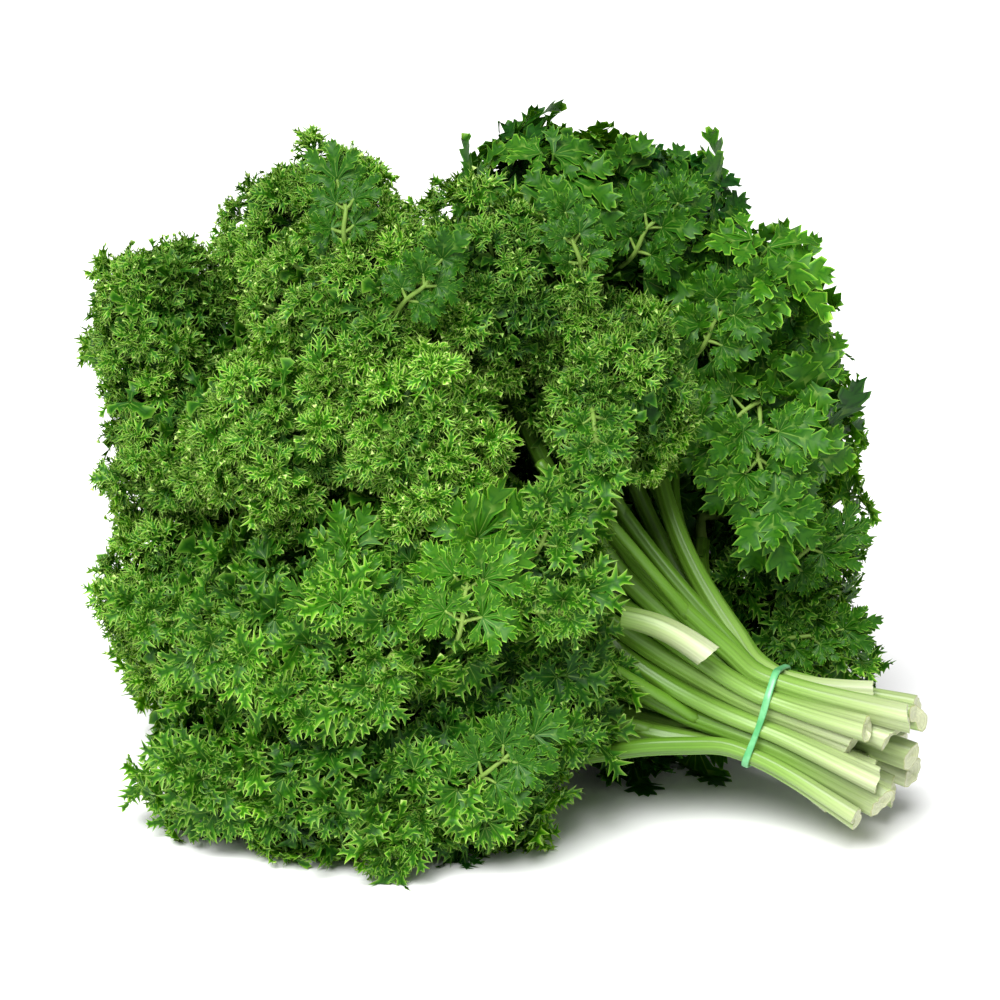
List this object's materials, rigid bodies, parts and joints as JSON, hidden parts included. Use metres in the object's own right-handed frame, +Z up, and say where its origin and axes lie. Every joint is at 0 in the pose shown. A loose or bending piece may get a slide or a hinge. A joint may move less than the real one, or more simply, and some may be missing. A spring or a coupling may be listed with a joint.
{
  "type": "parsley bunch",
  "caption": "Fresh curly parsley: a dome of curled, toothed leaves on grooved stems, gathered by a stretched rubber band and lying on its side.",
  "frame": {"origin": "on the surface that the bunch lies on, under the middle of its box", "axes": "+X along the bunch towards the cut ends, +Z up, so that +Y is behind the leaves as seen from the side with the stems in front"},
  "size_m": [0.2678, 0.196, 0.2155],
  "materials": {
    "leaf": "satin leaf",
    "stem": "smooth, grooved lengthwise",
    "stalk_base": "smooth and pale, freshly cut",
    "band": "soft sheen"
  },
  "bodies": {
    "root": {"stem_01": "stem", "stem_02": "stem", "stem_03": "stem", "stem_04": "stem", "stem_05": "stem", "stem_06": "stem", "stem_07": "stem", "stem_08": "stem", "stem_09": "stem", "stem_10": "stem", "stem_11": "stem", "stem_12": "stem", "stem_13": "stem", "stem_14": "stem", "stem_15": "stem", "stem_16": "stem", "stem_17": "stem", "stem_18": "stem", "stem_19": "stem", "stem_20": "stem", "stem_21": "stem", "stem_22": "stem", "stem_23": "stem", "stem_24": "stem", "stem_25": "stem", "stem_26": "stem", "stem_27": "stem", "stem_28": "stem", "stem_29": "stem", "leaf_01": "leaf", "leaf_02": "leaf", "leaf_03": "leaf", "leaf_04": "leaf", "leaf_05": "leaf", "leaf_06": "leaf", "leaf_07": "leaf", "leaf_08": "leaf", "leaf_09": "leaf", "leaf_10": "leaf", "leaf_11": "leaf", "leaf_12": "leaf", "leaf_13": "leaf", "leaf_14": "leaf", "leaf_15": "leaf", "leaf_16": "leaf", "leaf_17": "leaf", "leaf_18": "leaf", "leaf_19": "leaf", "leaf_20": "leaf", "leaf_21": "leaf", "leaf_22": "leaf", "leaf_23": "leaf", "leaf_24": "leaf", "leaf_25": "leaf", "leaf_26": "leaf", "leaf_27": "leaf", "leaf_28": "leaf", "leaf_29": "leaf", "cut_stalk": "stalk_base", "rubber_band": "band"}
  },
  "joints": []
}
